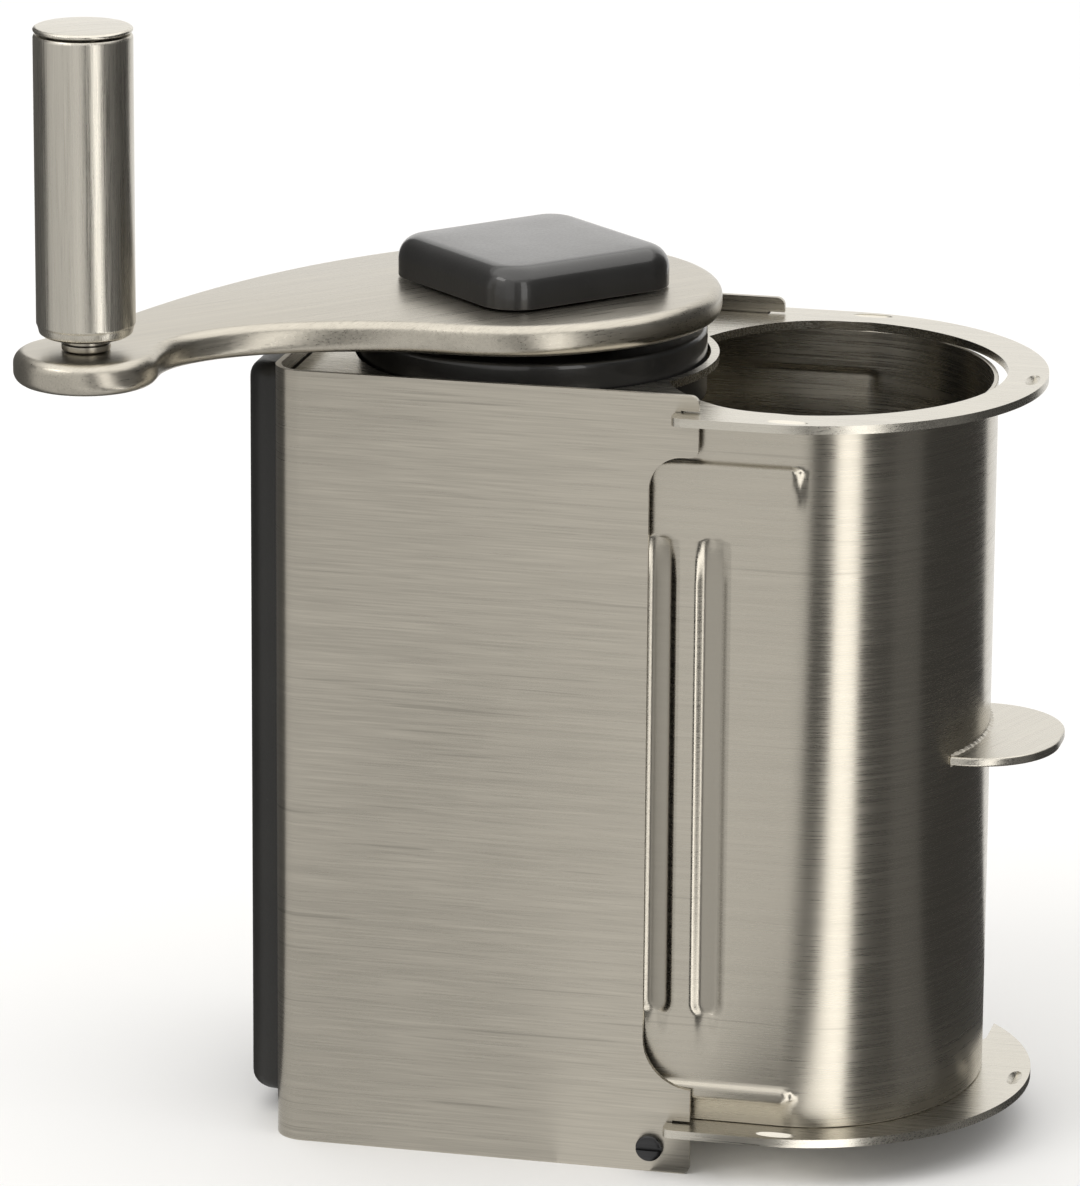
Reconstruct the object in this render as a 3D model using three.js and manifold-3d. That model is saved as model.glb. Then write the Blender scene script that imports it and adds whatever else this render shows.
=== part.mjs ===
// Rotary cheese grater: a sheet-steel body with a hand-cranked grating drum and a sliding pusher.
// Millimetres, +Z up. The drum's axis is the local origin while the pieces are made; the whole group is
// then moved so that the origin lies under the middle of the object's box, on the surface it stands on.
// +X runs from the drum to the food opening, -Y is the front side plate.
import * as THREE from "three";
import { mergeVertices } from "three/addons/utils/BufferGeometryUtils.js";
import Module from "manifold-3d";

const GAP = 0.3; // clearance between neighbouring pieces

// Sheet-steel body
const BODY_HEIGHT = 113;
const BODY_HALF_WIDTH = 30.15; // outer faces of the side plates
const BODY_SHEET = 0.8;
const BODY_CLOSED_END = -30.6; // outer face of the end wall
const BODY_BEND = 4.6; // outer bend radius
const BODY_OPEN_END = 23.5; // straight edge between the ears
const EAR_END = 30.4;
const TOP_EAR_FOOT = 104.2;
const TOP_EAR_FILLET = 4.8;
const LOW_EAR_TOP = 12.5;
const LOW_EAR_FILLET = 7.2;
const EAR_CORNER = 1.2;
const SLOT_END = 27.9; // the ears' slots run from here to the ears' edges

// Stamped plates
const PLATE_SHEET = 1.2;
const TOP_PLATE_Z = 109.4;
const LOW_PLATE_Z = 6.4;
const PLATE_RADIUS = 33.5; // round end and half width
const PLATE_CENTRE = 39.9; // centre of the round end
const WING_END = 27; // free ends of the strips outside the body
const OPENING_RADIUS = 27.8;
const OPENING_HALF_WIDTH = 27.3;
const OPENING_ARC = 0.46 * Math.PI; // the round end turns this far to each side
const SHOULDER = { x: 40.5, bendX: 34.5 }; // where the opening starts to narrow towards the drum
const WAIST = { x: 31, y: 24.4 }; // its flank, half way
const MOUTH = { x: 22.6, y: 13.6, bendX: 25.6, bendY: 20.4, end: 20 }; // its end at the drum hole
const BRIDGE_RADIUS = 26.4;
const TOP_HOLE_RADIUS = 25.2;
const LOW_HOLE_RADIUS = 22.6;
const NOTCH = { x0: 54, x1: 64.7, depthY: 14 }; // cut in the rear edge of the lower plate

// Pusher
const PUSHER_SHEET = 0.7;
const PUSHER_HALF_WIDTH = 28.2;
const PUSHER_CENTRE = 43; // where the flat sides end
const PUSHER_ROUND = 23.3; // reach of the round end past that
const PUSHER_OPEN_END = 10.5;
const PUSHER_Z0 = LOW_PLATE_Z + PLATE_SHEET + GAP;
const PUSHER_Z1 = TOP_PLATE_Z - GAP;
const RIB = { width: 5, z0: 22.2, z1: 92.8, depth: 0.75, centres: [24.9, 32.2] };
const RAIL = { width: 3.4, x0: 14, x1: 44.8, depth: 0.8, centres: [11.7, 102] };
const TAB = { half: 13.8, reach: 77, corner: 12, z: 57.9, thick: 1.3 };

// Grating drum
const DRUM_RADIUS = 24;
const DRUM_WALL = 0.6;
const DRUM_Z0 = PUSHER_Z0;
const DRUM_Z1 = 104.2;
const HOLE_ROWS = 6;
const HOLES_ROUND = 10;
const HOLE_RADIUS = 2;
const CAP_RADIUS = 24.7;
const CAP_TOP = 114.5;
const CAP_WEB = 108;
const SKIRT_INNER = 20.9;
const SPIGOT_INNER = 20.4;
const SPIGOT_RISE = 6; // how far the foot ring reaches up inside the drum
const SKIRT_FOOT = 99;
const BOSS_RADIUS = 13;
const POST_TOP = 124;
const HUB_SCREW = { head: 3.6, radius: 2, z0: 104, neck: 106.4, z1: 120, slotHalf: 0.5 };
const HUB_WASHER = { inner: 2.4, outer: 10, z0: 106.7, z1: 107.7 };

// Crank
const ARM_ANGLE = 227.75; // degrees from +X
const ARM_LENGTH = 73.5;
const HUB_RADIUS = 26.7;
const EYE_RADIUS = 10;
const ARM_Z0 = 116.04;
const ARM_Z1 = 120.44;
const ARM_EDGE = 1.3;
const ARM_BACK = [24, -30.3, 47, -21]; // control points of the long back edge
const ARM_NECK = [63.2, 3.4, 60.5, 1, 54.8, 0.8]; // of the step beside the eye
const ARM_FRONT = [44.8, 0.2, 31.4, 8.1, 25.2, 15.3]; // of the hollow front edge
const ARM_SHOULDER = [19.3, 22, 13.3, 25.7]; // of its swell into the hub
const HUB_FROM = 85; // degrees, where the hub's round starts
const HUB_TO = 262; // and where it ends
const POST_SIDE = 12;
const SQUARE_SIDE = 30.6;
const SQUARE_CORNER = 5.5;
const SQUARE_TOP = 126.6;
const SQUARE_EDGE = 3.2;

// Turning handle on the crank's eye
const KNOB_RADIUS = 6.75;
const KNOB_Z0 = 122.6;
const KNOB_TOP = 165.1;
const KNOB_BORE = 5.3;
const DISC_THICK = 0.8;
const SPINDLE_RADIUS = 2.6;
const COLLAR_RADIUS = 3.35;
const SPINDLE_TOP = 158;
const AXLE_SCREW = { radius: 1, head: 2.4, headRise: 0.6, length: 9 };
const AXLE_WASHER = { inner: 1.5, outer: 4.4, thick: 0.8 };
const DISC_PLUG = 4; // how far the top disc's plug reaches into the sleeve
const SLEEVE_CHAMFER = { radial: 0.9, rise: 1.5 };

// Palm grip and fasteners
const GRIP = { depth: 6.3, half: 20, corner: 4, z0: 3, z1: 111 };
const GRIP_SCREW_Z = [34, 82];
const GRIP_SCREW = { radius: 1.3, bite: 3.3, head: 3, rise: 1.5, slotDepth: 0.6, slotHalf: 0.4 };
const GRIP_EDGE = 2;
const TIE = { x: 24.7, z: 3.65, radius: 2.4 };
const TIE_SCREW = { radius: 1.2, head: 1.9, rise: 0.8, slotFloor: 0.45, slotHalf: 0.25, threadFrom: 19 };

const wasm = await Module();
wasm.setup();

const finish = (color, roughness, metalness) =>
  new THREE.MeshStandardMaterial({ color, roughness, metalness });
const steel = (color, roughness) => finish(color, roughness, 1);
const plastic = () => finish(0x18181a, 0.5, 0);
const blackSteel = () => finish(0x222224, 0.4, 0.6);

// A closed geometry as a solid that can be joined and cut.
function solid(geometry) {
  const plain = geometry.clone();
  plain.deleteAttribute("normal");
  plain.deleteAttribute("uv");
  const merged = mergeVertices(plain, 1e-4);
  return new wasm.Manifold(
    new wasm.Mesh({
      numProp: 3,
      vertProperties: new Float32Array(merged.attributes.position.array),
      triVerts: new Uint32Array(merged.index.array),
    }),
  );
}

function named(name, shape, material) {
  const mesh = shape.getMesh();
  const geometry = new THREE.BufferGeometry();
  geometry.setAttribute("position", new THREE.BufferAttribute(mesh.vertProperties, 3));
  geometry.setIndex(new THREE.BufferAttribute(mesh.triVerts, 1));
  geometry.computeVertexNormals();
  const out = new THREE.Mesh(geometry, material);
  out.name = name;
  return out;
}

// A flat outline pulled up from z0 to z1.
function slab(shape, z0, z1, segments = 12) {
  const geometry = new THREE.ExtrudeGeometry(shape, {
    depth: z1 - z0,
    bevelEnabled: false,
    curveSegments: segments,
  });
  return solid(geometry.translate(0, 0, z0));
}

// The same with rounded upper and lower edges; the outline given is the widest one.
function softSlab(shape, z0, z1, edge, steps, segments = 12) {
  const geometry = new THREE.ExtrudeGeometry(shape, {
    depth: z1 - z0 - 2 * edge,
    bevelEnabled: true,
    bevelSize: edge,
    bevelOffset: -edge,
    bevelThickness: edge,
    bevelSegments: steps,
    curveSegments: segments,
  });
  return solid(geometry.translate(0, 0, z0 + edge));
}

// An outline drawn in X and Z, pulled along Y from y0 to y1.
function wall(shape, y0, y1, segments = 8) {
  const geometry = new THREE.ExtrudeGeometry(shape, {
    depth: y1 - y0,
    bevelEnabled: false,
    curveSegments: segments,
  });
  return solid(geometry.rotateX(Math.PI / 2).translate(0, y1, 0));
}

function block(x0, x1, y0, y1, z0, z1) {
  const geometry = new THREE.BoxGeometry(x1 - x0, y1 - y0, z1 - z0);
  return solid(geometry.translate((x0 + x1) / 2, (y0 + y1) / 2, (z0 + z1) / 2));
}

// A turned piece about Z from [radius, z] points that start and end on the axis or close on themselves.
function turned(points, x = 0, y = 0, segments = 32) {
  const geometry = new THREE.LatheGeometry(points.map(([r, z]) => new THREE.Vector2(r, z)), segments);
  return solid(geometry.rotateX(Math.PI / 2).translate(x, y, 0));
}

const rod = (radius, z0, z1, x = 0, y = 0, segments = 32) =>
  turned([[0, z0], [radius, z0], [radius, z1], [0, z1]], x, y, segments);

const ring = (inner, outer, z0, z1, x = 0, y = 0, segments = 32) =>
  turned([[inner, z0], [outer, z0], [outer, z1], [inner, z1], [inner, z0]], x, y, segments);

// A round bar along X or Y.
function barAlongY(radius, y0, y1, x, z, segments = 20) {
  const geometry = new THREE.CylinderGeometry(radius, radius, y1 - y0, segments);
  return solid(geometry.translate(x, (y0 + y1) / 2, z));
}

function barAlongX(radius, x0, x1, y, z, segments = 20) {
  const geometry = new THREE.CylinderGeometry(radius, radius, x1 - x0, segments);
  return solid(geometry.rotateZ(Math.PI / 2).translate((x0 + x1) / 2, y, z));
}

function roundedBox(x0, y0, x1, y1, r) {
  const s = new THREE.Shape();
  s.absarc(x0 + r, y0 + r, r, Math.PI, 1.5 * Math.PI);
  s.absarc(x1 - r, y0 + r, r, 1.5 * Math.PI, 2 * Math.PI);
  s.absarc(x1 - r, y1 - r, r, 0, 0.5 * Math.PI);
  s.absarc(x0 + r, y1 - r, r, 0.5 * Math.PI, Math.PI);
  return s;
}

// --- body -----------------------------------------------------------------

// Plan of the bent sheet, inset from the outer faces.
function bodyPlan(inset, openEnd) {
  const r = BODY_BEND - inset;
  const x0 = BODY_CLOSED_END + inset;
  const half = BODY_HALF_WIDTH - inset;
  const s = new THREE.Shape();
  s.absarc(x0 + r, -half + r, r, Math.PI, 1.5 * Math.PI);
  s.lineTo(openEnd, -half);
  s.lineTo(openEnd, half);
  s.absarc(x0 + r, half - r, r, 0.5 * Math.PI, Math.PI);
  return s;
}

// Side view of the plates, with an ear above and an ear below the open edge.
function bodySide() {
  const a = TOP_EAR_FILLET;
  const b = LOW_EAR_FILLET;
  const c = EAR_CORNER;
  const s = new THREE.Shape();
  s.moveTo(BODY_CLOSED_END - 1, 0);
  s.lineTo(EAR_END - c, 0);
  s.absarc(EAR_END - c, c, c, 1.5 * Math.PI, 2 * Math.PI);
  s.lineTo(EAR_END, LOW_EAR_TOP);
  s.absarc(BODY_OPEN_END + b, LOW_EAR_TOP + b, b, 1.5 * Math.PI, Math.PI, true);
  s.absarc(BODY_OPEN_END + a, TOP_EAR_FOOT - a, a, Math.PI, 0.5 * Math.PI, true);
  s.absarc(EAR_END - c, TOP_EAR_FOOT + c, c, 1.5 * Math.PI, 2 * Math.PI);
  s.absarc(EAR_END - c, BODY_HEIGHT - c, c, 0, 0.5 * Math.PI);
  s.lineTo(BODY_CLOSED_END - 1, BODY_HEIGHT);
  return s;
}

function makeBody() {
  const outside = slab(bodyPlan(0, EAR_END), 0, BODY_HEIGHT, 6);
  const inside = slab(bodyPlan(BODY_SHEET, EAR_END + 1), -1, BODY_HEIGHT + 1, 6);
  const w = BODY_HALF_WIDTH + 1;
  let body = outside.subtract(inside).intersect(wall(bodySide(), -w, w, 5));
  const hole = GRIP_SCREW.radius + 0.5;
  for (const z of [TOP_PLATE_Z, LOW_PLATE_Z])
    body = body.subtract(block(SLOT_END, EAR_END + 1, -w, w, z - GAP, z + PLATE_SHEET + GAP));
  body = body.subtract(barAlongY(TIE_SCREW.radius + GAP, -w, w, TIE.x, TIE.z));
  for (const z of GRIP_SCREW_Z)
    body = body.subtract(barAlongX(hole, BODY_CLOSED_END - 1, BODY_CLOSED_END + 2, 0, z));
  return named("body_shell", body, steel(0xb9b6ae, 0.35));
}

// --- stamped plates ---------------------------------------------------------

function plateOutline() {
  const s = new THREE.Shape();
  s.moveTo(WING_END + 1.5, -PLATE_RADIUS);
  s.lineTo(PLATE_CENTRE, -PLATE_RADIUS);
  s.absarc(PLATE_CENTRE, 0, PLATE_RADIUS, -0.5 * Math.PI, 0.5 * Math.PI);
  s.lineTo(WING_END + 1.5, PLATE_RADIUS);
  s.lineTo(WING_END, PLATE_RADIUS - 1.5);
  s.lineTo(WING_END, 1.5 - PLATE_RADIUS);
  return s;
}

// The plate blank: a tongue that fills the body's plan, joined to a round end that is wider than the
// body, with short strips reaching back outside the ears.
function plateBlank(z) {
  const z1 = z + PLATE_SHEET;
  const inner = BODY_HALF_WIDTH - BODY_SHEET - GAP;
  const outer = BODY_HALF_WIDTH + GAP;
  let plate = slab(plateOutline(), z, z1, 24);
  for (const [y0, y1] of [[-outer, -inner], [inner, outer]])
    plate = plate.subtract(block(WING_END - 1, SLOT_END + GAP, y0, y1, z - 1, z1 + 1));
  return plate.add(slab(bodyPlan(BODY_SHEET + GAP, SLOT_END + 1), z, z1, 8));
}

// Food opening: round at the outer end, hollowed towards the drum by the thin bridge.
function foodOpening() {
  const s = new THREE.Shape();
  const half = OPENING_HALF_WIDTH;
  s.moveTo(WAIST.x, -WAIST.y);
  s.quadraticCurveTo(SHOULDER.bendX, -half, SHOULDER.x, -half);
  s.absarc(PLATE_CENTRE, 0, OPENING_RADIUS, -OPENING_ARC, OPENING_ARC);
  s.quadraticCurveTo(SHOULDER.bendX, half, WAIST.x, WAIST.y);
  s.quadraticCurveTo(MOUTH.bendX, MOUTH.bendY, MOUTH.x, MOUTH.y);
  s.lineTo(MOUTH.end, MOUTH.y);
  s.lineTo(MOUTH.end, -MOUTH.y);
  s.lineTo(MOUTH.x, -MOUTH.y);
  s.quadraticCurveTo(MOUTH.bendX, -MOUTH.bendY, WAIST.x, -WAIST.y);
  return s;
}

function makeTopPlate() {
  const z0 = TOP_PLATE_Z - 1;
  const z1 = TOP_PLATE_Z + PLATE_SHEET + 1;
  const bridge = rod(BRIDGE_RADIUS, z0 - 1, z1 + 1, 0, 0, 40);
  const opening = slab(foodOpening(), z0, z1, 20).subtract(bridge);
  const plate = plateBlank(TOP_PLATE_Z).subtract(opening).subtract(rod(TOP_HOLE_RADIUS, z0, z1, 0, 0, 40));
  return named("top_plate", plate, steel(0xc2bfb8, 0.3));
}

function makeBottomPlate() {
  const z0 = LOW_PLATE_Z - 1;
  const z1 = LOW_PLATE_Z + PLATE_SHEET + 1;
  const notch = slab(roundedBox(NOTCH.x0, NOTCH.depthY, NOTCH.x1, PLATE_RADIUS + 6, 2.5), z0, z1);
  const plate = plateBlank(LOW_PLATE_Z).subtract(notch).subtract(rod(LOW_HOLE_RADIUS, z0, z1, 0, 0, 36));
  return named("bottom_plate", plate, steel(0xc2bfb8, 0.3));
}

// --- pusher -------------------------------------------------------------------

// Plan of the bent sheet: two flat sides and a round end.
function pusherPlan(inset, openEnd) {
  const half = PUSHER_HALF_WIDTH - inset;
  const reach = PUSHER_ROUND - inset;
  const s = new THREE.Shape();
  s.moveTo(openEnd, -half);
  s.lineTo(PUSHER_CENTRE, -half);
  s.absellipse(PUSHER_CENTRE, 0, reach, half, -0.5 * Math.PI, 0.5 * Math.PI, false, 0);
  s.lineTo(openEnd, half);
  return s;
}

function stadium(x0, x1, z0, z1) {
  const r = Math.min(x1 - x0, z1 - z0) / 2 - 0.001;
  return roundedBox(x0, z0, x1, z1, r);
}

// A pressed bead on one flat side: depth > 0 stands out of the pusher, depth < 0 into it.
function pressBead(sheet, side, x0, x1, z0, z1, depth) {
  const t = PUSHER_SHEET;
  const outer = PUSHER_HALF_WIDTH;
  const span = depth > 0 ? [outer - t, outer + depth] : [outer - t + depth, outer];
  const hollow = depth > 0 ? [outer - t - 1, outer + depth - t] : [outer + depth, outer + 1];
  const along = ([a, b]) => (side < 0 ? [-b, -a] : [a, b]);
  const full = wall(stadium(x0, x1, z0, z1), ...along(span), 3);
  const cut = wall(stadium(x0 + t, x1 - t, z0 + t, z1 - t), ...along(hollow), 3);
  return sheet.add(full).subtract(cut);
}

function makePusher() {
  let sheet = slab(pusherPlan(0, PUSHER_OPEN_END), PUSHER_Z0, PUSHER_Z1, 14);
  sheet = sheet.subtract(slab(pusherPlan(PUSHER_SHEET, 0), PUSHER_Z0 - 1, PUSHER_Z1 + 1, 14));
  for (const side of [-1, 1]) {
    for (const x of RIB.centres)
      sheet = pressBead(sheet, side, x - RIB.width / 2, x + RIB.width / 2, RIB.z0, RIB.z1, -RIB.depth);
    for (const z of RAIL.centres)
      sheet = pressBead(sheet, side, RAIL.x0, RAIL.x1, z - RAIL.width / 2, z + RAIL.width / 2, RAIL.depth);
  }
  return named("pusher", sheet, steel(0xb9b6ae, 0.25));
}

function makeFingerTab() {
  const z1 = TAB.z + TAB.thick;
  const blank = slab(roundedBox(50, -TAB.half, TAB.reach, TAB.half, TAB.corner), TAB.z, z1);
  const tab = blank.subtract(slab(pusherPlan(-GAP, 0), TAB.z - 1, z1 + 1, 24));
  return named("finger_tab", tab, steel(0xb9b6ae, 0.35));
}

// --- grating drum ---------------------------------------------------------------

function makeDrum() {
  let drum = ring(DRUM_RADIUS - DRUM_WALL, DRUM_RADIUS, DRUM_Z0, DRUM_Z1, 0, 0, 40);
  const pitch = (DRUM_Z1 - DRUM_Z0 - 14) / HOLE_ROWS;
  for (let row = 0; row < HOLE_ROWS; row++) {
    for (let k = 0; k < HOLES_ROUND / 2; k++) {
      const turn = ((k + (row % 2) / 2) / HOLES_ROUND) * 2 * Math.PI;
      const drill = new THREE.CylinderGeometry(HOLE_RADIUS, HOLE_RADIUS, 60, 6);
      drill.rotateZ(Math.PI / 2).rotateZ(turn).translate(0, 0, DRUM_Z0 + 8 + pitch * (row + 0.5));
      drum = drum.subtract(solid(drill));
    }
  }
  return named("grating_drum", drum, steel(0xc2bfb8, 0.25));
}

function squareOutline(side, corner = 0.6) {
  return roundedBox(-side / 2, -side / 2, side / 2, side / 2, corner);
}

function makeDrumTopCap() {
  const skirt = DRUM_RADIUS - DRUM_WALL - GAP;
  const profile = [
    [0, CAP_WEB],
    [SKIRT_INNER, CAP_WEB],
    [SKIRT_INNER, SKIRT_FOOT],
    [skirt, SKIRT_FOOT],
    [skirt, DRUM_Z1 + GAP],
    [CAP_RADIUS, DRUM_Z1 + GAP],
    [CAP_RADIUS, CAP_TOP - 1],
    [CAP_RADIUS - 1, CAP_TOP],
    [BOSS_RADIUS, CAP_TOP],
    [BOSS_RADIUS, ARM_Z0 - GAP],
    [0, ARM_Z0 - GAP],
  ];
  const socket = slab(squareOutline(POST_SIDE + 2 * GAP), CAP_WEB - 1, ARM_Z0 + 1, 2);
  return named("drum_top_cap", turned(profile, 0, 0, 36).subtract(socket), plastic());
}

function makeDrumBottomRing() {
  const outer = DRUM_RADIUS - DRUM_WALL - GAP;
  const profile = [
    [SPIGOT_INNER, LOW_PLATE_Z + 0.2],
    [LOW_HOLE_RADIUS - GAP, LOW_PLATE_Z + 0.2],
    [LOW_HOLE_RADIUS - GAP, DRUM_Z0],
    [outer, DRUM_Z0],
    [outer, DRUM_Z0 + SPIGOT_RISE],
    [SPIGOT_INNER, DRUM_Z0 + SPIGOT_RISE],
    [SPIGOT_INNER, LOW_PLATE_Z + 0.2],
  ];
  return named("drum_bottom_ring", turned(profile, 0, 0, 36), plastic());
}

function makeDrivePost() {
  const bore = rod(HUB_SCREW.radius + GAP, CAP_WEB - 1, HUB_SCREW.z1 + 2, 0, 0, 20);
  const post = slab(squareOutline(POST_SIDE), CAP_WEB, POST_TOP, 2).subtract(bore);
  return named("drive_post", post, steel(0xa9a7a2, 0.4));
}

function makeHubScrew() {
  const { head, radius, z0, neck, z1, slotHalf } = HUB_SCREW;
  const profile = [[0, z0], [head, z0], [head, neck], [radius, neck], [radius, z1], [0, z1]];
  const slot = block(-head - 1, head + 1, -slotHalf, slotHalf, z0 - 1, z0 + 1);
  return named("hub_screw", turned(profile, 0, 0, 24).subtract(slot), steel(0xa9a7a2, 0.35));
}

function makeHubWasher() {
  const { inner, outer, z0, z1 } = HUB_WASHER;
  return named("hub_washer", ring(inner, outer, z0, z1, 0, 0, 32), steel(0xa9a7a2, 0.35));
}

// --- crank --------------------------------------------------------------------------

// Comma-shaped outline: +X here runs from the hub to the eye.
function armOutline() {
  const deg = Math.PI / 180;
  const s = new THREE.Shape();
  const hub = HUB_FROM * deg;
  s.absarc(0, 0, HUB_RADIUS, hub, HUB_TO * deg);
  const eye = -110 * deg;
  s.bezierCurveTo(...ARM_BACK, ARM_LENGTH + EYE_RADIUS * Math.cos(eye), EYE_RADIUS * Math.sin(eye));
  s.absarc(ARM_LENGTH, 0, EYE_RADIUS, eye, 140 * deg);
  s.bezierCurveTo(...ARM_NECK);
  s.bezierCurveTo(...ARM_FRONT);
  s.bezierCurveTo(...ARM_SHOULDER, HUB_RADIUS * Math.cos(hub), HUB_RADIUS * Math.sin(hub));
  return s;
}

function makeArm() {
  let arm = softSlab(armOutline(), ARM_Z0, ARM_Z1, ARM_EDGE, 2, 11);
  arm = arm.subtract(slab(squareOutline(POST_SIDE + 2 * GAP), ARM_Z0 - 1, ARM_Z1 + 1, 2));
  arm = arm.subtract(rod(SPINDLE_RADIUS + GAP, ARM_Z0 - 1, ARM_Z1 + 1, ARM_LENGTH, 0, 24));
  return named("crank_arm", arm, steel(0xb9b6ae, 0.35));
}

function makeCrankCap() {
  const z0 = ARM_Z1 + GAP;
  const w = SQUARE_SIDE;
  let cap = softSlab(squareOutline(SQUARE_SIDE, SQUARE_CORNER), z0 - 4, SQUARE_TOP, SQUARE_EDGE, 4, 5);
  cap = cap.intersect(block(-w, w, -w, w, z0, SQUARE_TOP + 1));
  cap = cap.subtract(slab(squareOutline(POST_SIDE + 2 * GAP), z0 - 1, POST_TOP + GAP, 2));
  return named("crank_cap", cap, plastic());
}

// --- turning handle -------------------------------------------------------------------

function makeSpindle() {
  const profile = [
    [0, ARM_Z0 + 0.3],
    [SPINDLE_RADIUS, ARM_Z0 + 0.3],
    [SPINDLE_RADIUS, ARM_Z1 + GAP],
    [COLLAR_RADIUS, ARM_Z1 + GAP],
    [COLLAR_RADIUS, KNOB_Z0 - GAP],
    [SPINDLE_RADIUS, KNOB_Z0 - GAP],
    [SPINDLE_RADIUS, SPINDLE_TOP],
    [AXLE_SCREW.radius + GAP, SPINDLE_TOP],
    [AXLE_SCREW.radius + GAP, SPINDLE_TOP - AXLE_SCREW.length],
    [0, SPINDLE_TOP - AXLE_SCREW.length],
  ];
  return named("knob_spindle", turned(profile, ARM_LENGTH, 0, 24), steel(0xa9a7a2, 0.3));
}

function makeSleeve() {
  const top = KNOB_TOP - DISC_THICK - GAP;
  const profile = [
    [KNOB_BORE, KNOB_Z0],
    [KNOB_RADIUS - SLEEVE_CHAMFER.radial, KNOB_Z0],
    [KNOB_RADIUS, KNOB_Z0 + SLEEVE_CHAMFER.rise],
    [KNOB_RADIUS, top],
    [KNOB_BORE, top],
    [KNOB_BORE, KNOB_Z0],
  ];
  return named("knob_sleeve", turned(profile, ARM_LENGTH, 0, 36), steel(0xb9b6ae, 0.3));
}

function makeKnobCap() {
  const z0 = KNOB_TOP - DISC_THICK;
  const profile = [
    [0, z0 - DISC_PLUG],
    [KNOB_BORE - GAP, z0 - DISC_PLUG],
    [KNOB_BORE - GAP, z0],
    [KNOB_RADIUS, z0],
    [KNOB_RADIUS, KNOB_TOP - 0.3],
    [KNOB_RADIUS - 0.3, KNOB_TOP],
    [0, KNOB_TOP],
  ];
  return named("knob_top_cap", turned(profile, ARM_LENGTH, 0, 36), steel(0xc2bfb8, 0.3));
}

const makeBush = (name, z0, z1) =>
  named(name, ring(SPINDLE_RADIUS + GAP, KNOB_BORE - GAP, z0, z1, ARM_LENGTH, 0, 24), plastic());

function makeKnobWasher() {
  const { inner, outer, thick } = AXLE_WASHER;
  const z0 = SPINDLE_TOP + GAP;
  return named("knob_washer", ring(inner, outer, z0, z0 + thick, ARM_LENGTH, 0, 24), steel(0xa9a7a2, 0.35));
}

function makeKnobScrew() {
  const { radius, head, headRise, length } = AXLE_SCREW;
  const z0 = SPINDLE_TOP + GAP - length + 1.7;
  const seat = SPINDLE_TOP + 2 * GAP + AXLE_WASHER.thick;
  const z1 = seat + headRise;
  const profile = [[0, z0], [radius, z0], [radius, seat], [head, seat], [head, z1], [0, z1]];
  return named("knob_axle_screw", turned(profile, ARM_LENGTH, 0, 16), steel(0xa9a7a2, 0.35));
}

// --- grip and fasteners -----------------------------------------------------------------

function makeGrip() {
  const x1 = BODY_CLOSED_END - GAP;
  const x0 = BODY_CLOSED_END - GRIP.depth;
  const plan = roundedBox(x0, -GRIP.half, x1 + GRIP.corner, GRIP.half, GRIP.corner);
  const bore = GRIP_SCREW.radius + GAP;
  let grip = softSlab(plan, GRIP.z0, GRIP.z1, GRIP_EDGE, 3, 6);
  grip = grip.intersect(block(x0 - 1, x1, -GRIP.half - 1, GRIP.half + 1, GRIP.z0 - 1, GRIP.z1 + 1));
  for (const z of GRIP_SCREW_Z)
    grip = grip.subtract(barAlongX(bore, x1 - GRIP_SCREW.bite - GAP, x1 + 1, 0, z, 16));
  return named("palm_grip", grip, plastic());
}

function makeGripScrew(name, z) {
  const { radius, bite, head, rise, slotDepth, slotHalf } = GRIP_SCREW;
  const inside = BODY_CLOSED_END + BODY_SHEET + GAP;
  const disc = barAlongX(head, inside, inside + rise, 0, z, 20);
  const shank = barAlongX(radius, BODY_CLOSED_END - GAP - bite, inside + 0.5 * rise, 0, z, 16);
  const slotFloor = inside + rise - slotDepth;
  const slot = block(slotFloor, inside + rise + 1, -head - 1, head + 1, z - slotHalf, z + slotHalf);
  return named(name, disc.add(shank).subtract(slot), steel(0xa9a7a2, 0.35));
}

function makeTieBar() {
  const end = BODY_HALF_WIDTH - BODY_SHEET - GAP;
  const bore = TIE_SCREW.radius + GAP;
  const from = TIE_SCREW.threadFrom;
  let bar = barAlongY(TIE.radius, -end, end, TIE.x, TIE.z, 24);
  bar = bar.subtract(barAlongY(bore, from, end + 1, TIE.x, TIE.z));
  bar = bar.subtract(barAlongY(bore, -end - 1, -from, TIE.x, TIE.z));
  return named("tie_bar", bar, steel(0xa9a7a2, 0.35));
}

function makeTieScrew(name, side) {
  const face = BODY_HALF_WIDTH + GAP;
  const { radius, head, rise, slotFloor, slotHalf, threadFrom } = TIE_SCREW;
  const span = (a, b) => (side < 0 ? [-b, -a] : [a, b]);
  const disc = barAlongY(head, ...span(face, face + rise), TIE.x, TIE.z, 24);
  const shank = barAlongY(radius, ...span(threadFrom + 1, face + slotFloor), TIE.x, TIE.z, 16);
  const across = [TIE.x - head - 1, TIE.x + head + 1];
  const slot = block(...across, ...span(face + slotFloor, face + 2), TIE.z - slotHalf, TIE.z + slotHalf);
  return named(name, disc.add(shank).subtract(slot), blackSteel());
}

// --- assembly ------------------------------------------------------------------------------

const handle = new THREE.Group();
handle.add(makeSleeve(), makeKnobCap());
handle.add(makeBush("knob_bush_lower", KNOB_Z0 + 0.6, KNOB_Z0 + 8));
handle.add(makeBush("knob_bush_upper", SPINDLE_TOP - 9, SPINDLE_TOP - 0.6));

const crank = new THREE.Group();
crank.add(makeArm(), makeCrankCap(), makeDrivePost(), makeDrumTopCap(), makeHubWasher(), makeHubScrew());
crank.add(makeSpindle(), makeKnobWasher(), makeKnobScrew(), handle);
crank.rotation.z = (ARM_ANGLE * Math.PI) / 180;

const drum = new THREE.Group();
drum.add(makeDrum(), makeDrumBottomRing());

const slide = new THREE.Group();
slide.add(makePusher(), makeFingerTab());

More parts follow.
